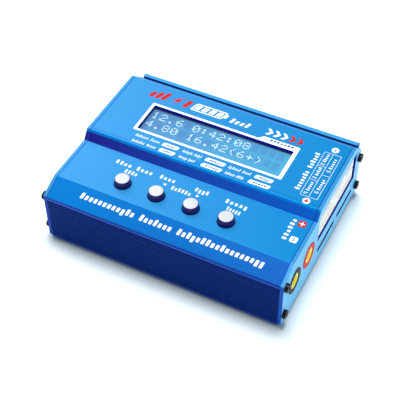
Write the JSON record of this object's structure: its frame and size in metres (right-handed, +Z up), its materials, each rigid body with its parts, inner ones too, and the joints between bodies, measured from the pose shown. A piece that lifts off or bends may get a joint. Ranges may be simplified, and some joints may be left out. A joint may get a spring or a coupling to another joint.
{
  "type": "balance battery charger",
  "caption": "Small blue aluminium battery charger with a display, a row of push buttons, output and balance sockets on the right end, and inlets and a fan grille on the left.",
  "frame": {"origin": "centre of the footprint, on the plane that the rubber feet rest on", "axes": "+X from the inlet end to the output end, along the display's lines; +Y from the ribbed front wall to the rear; +Z up out of the display"},
  "size_m": [0.1048, 0.0804, 0.032],
  "materials": {
    "case_blue": "satin anodised, bright blue",
    "case_navy": "satin anodised, ribbed, dark navy blue",
    "end_plate_blue": "satin anodised, light blue",
    "screw_black": "black oxide, satin",
    "window_clear": "clear polished",
    "lcd_frame_navy": "satin, dark navy",
    "lcd_blue": "backlit light blue with white dots",
    "board_green": "solder mask, semi-matte",
    "button_white": "moulded, white",
    "plastic_black": "moulded, black",
    "nylon_white": "moulded nylon, off-white",
    "collar_red": "moulded, red",
    "collar_black": "moulded, black",
    "brass": "turned, bright",
    "steel": "plated, bright",
    "aluminium_bare": "bare, satin",
    "ferrite": "sintered, dark grey",
    "can_sleeve": "shrink sleeve, dark blue",
    "rubber_black": "moulded, matte"
  },
  "bodies": {
    "case": {"balance_board": "board_green", "balance_socket_2_cells": "nylon_white", "balance_socket_3_cells": "nylon_white", "balance_socket_4_cells": "nylon_white", "balance_socket_5_cells": "nylon_white", "balance_socket_6_cells": "nylon_white", "board_header": "plastic_black", "buzzer": "plastic_black", "capacitor_1": "can_sleeve", "capacitor_2": "can_sleeve", "capacitor_3": "can_sleeve", "controller_chip": "plastic_black", "data_port": "steel", "display_window": "window_clear", "end_plate_left": "end_plate_blue", "end_plate_right": "end_plate_blue", "end_screw_left_front_high": "screw_black", "end_screw_left_front_low": "screw_black", "end_screw_left_rear_high": "screw_black", "end_screw_left_rear_low": "screw_black", "end_screw_right_front_high": "screw_black", "end_screw_right_front_low": "screw_black", "end_screw_right_rear_high": "screw_black", "end_screw_right_rear_low": "screw_black", "fan_frame": "plastic_black", "foot_left_front": "rubber_black", "foot_left_rear": "rubber_black", "foot_right_front": "rubber_black", "foot_right_rear": "rubber_black", "heat_sink": "aluminium_bare", "inductor_1": "ferrite", "inductor_2": "ferrite", "inlet_jack": "plastic_black", "inlet_pin": "steel", "key_board": "board_green", "key_switch_1": "plastic_black", "key_switch_2": "plastic_black", "key_switch_3": "plastic_black", "key_switch_4": "plastic_black", "lcd_board": "board_green", "lcd_frame": "lcd_frame_navy", "lcd_glass": "lcd_blue", "lower_shell": "case_navy", "main_board": "board_green", "output_barrel_black": "brass", "output_barrel_red": "brass", "output_collar_black": "collar_black", "output_collar_red": "collar_red", "output_nut_black": "steel", "output_nut_red": "steel", "temperature_port": "nylon_white", "upper_shell": "case_blue"},
    "button_1": {"button_cap_1": "button_white"},
    "button_2": {"button_cap_2": "button_white"},
    "button_3": {"button_cap_3": "button_white"},
    "button_4": {"button_cap_4": "button_white"},
    "rotor": {"fan_rotor": "plastic_black"}
  },
  "joints": [
    {"name": "button_1_press", "type": "slide", "parent": "case", "child": "button_1", "axis": [0, 0, -1], "range_m": [0, 0.00035], "stiffness_N_per_m": 2000},
    {"name": "button_2_press", "type": "slide", "parent": "case", "child": "button_2", "axis": [0, 0, -1], "range_m": [0, 0.00035], "stiffness_N_per_m": 2000},
    {"name": "button_3_press", "type": "slide", "parent": "case", "child": "button_3", "axis": [0, 0, -1], "range_m": [0, 0.00035], "stiffness_N_per_m": 2000},
    {"name": "button_4_press", "type": "slide", "parent": "case", "child": "button_4", "axis": [0, 0, -1], "range_m": [0, 0.00035], "stiffness_N_per_m": 2000},
    {"name": "fan_spin", "type": "hinge", "parent": "case", "child": "rotor", "pos_m": [-0.046, 0.01625, 0.0158], "axis": [1, 0, 0], "continuous": true}
  ]
}
